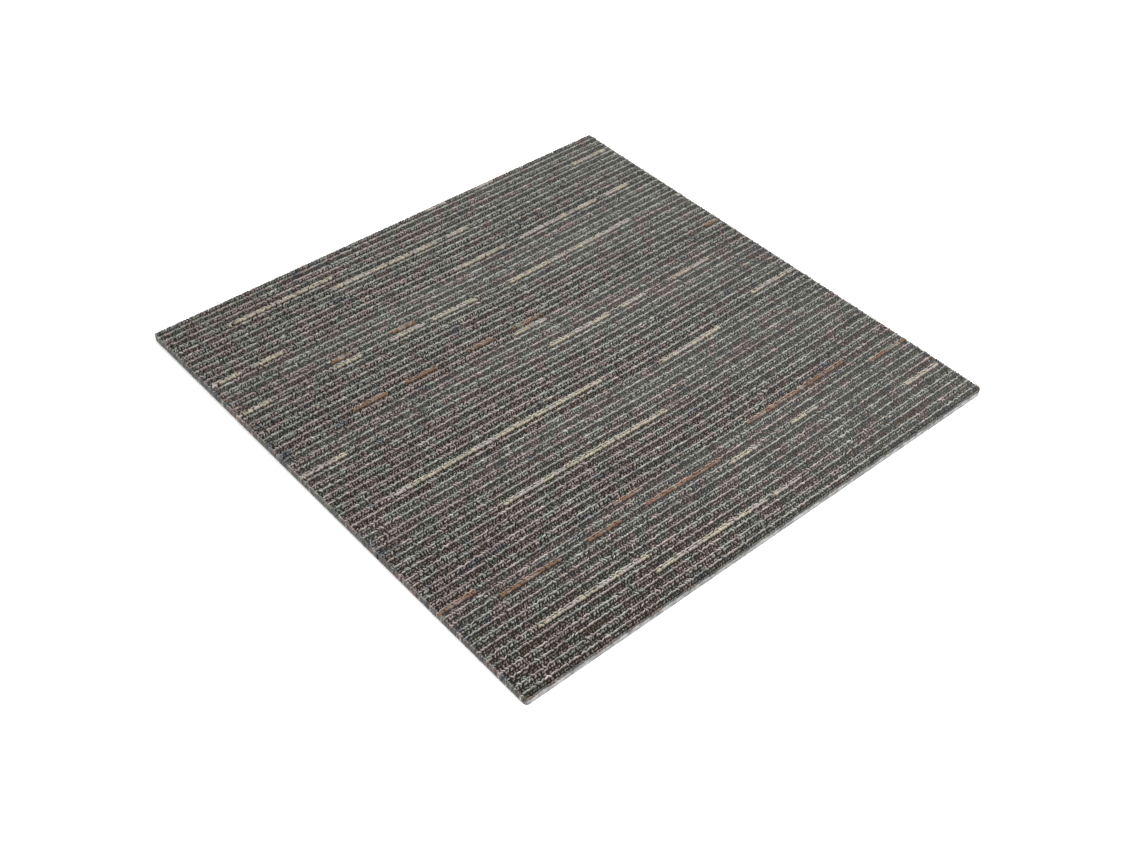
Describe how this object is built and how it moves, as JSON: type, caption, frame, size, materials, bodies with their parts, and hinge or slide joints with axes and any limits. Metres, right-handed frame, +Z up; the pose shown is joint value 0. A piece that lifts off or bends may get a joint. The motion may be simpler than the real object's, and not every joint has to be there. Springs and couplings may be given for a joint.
{
  "type": "carpet tile",
  "caption": "Square carpet tile: a ribbed loop pile in heathered grey and brown yarn on a light grey felted backing, laid flat.",
  "frame": {"origin": "on the floor, under the middle of the tile", "axes": "+Z up through the pile, +X along the rows of loops, +Y across them"},
  "size_m": [0.5, 0.5, 0.0075],
  "materials": {
    "backing_felt": "matt light grey felted backing with cut edges",
    "pile_yarn": "heathered grey, green-grey and plum-brown loop pile with short cream and rust streaks"
  },
  "bodies": {
    "root": {"backing": "backing_felt", "pile": "pile_yarn"}
  },
  "joints": []
}
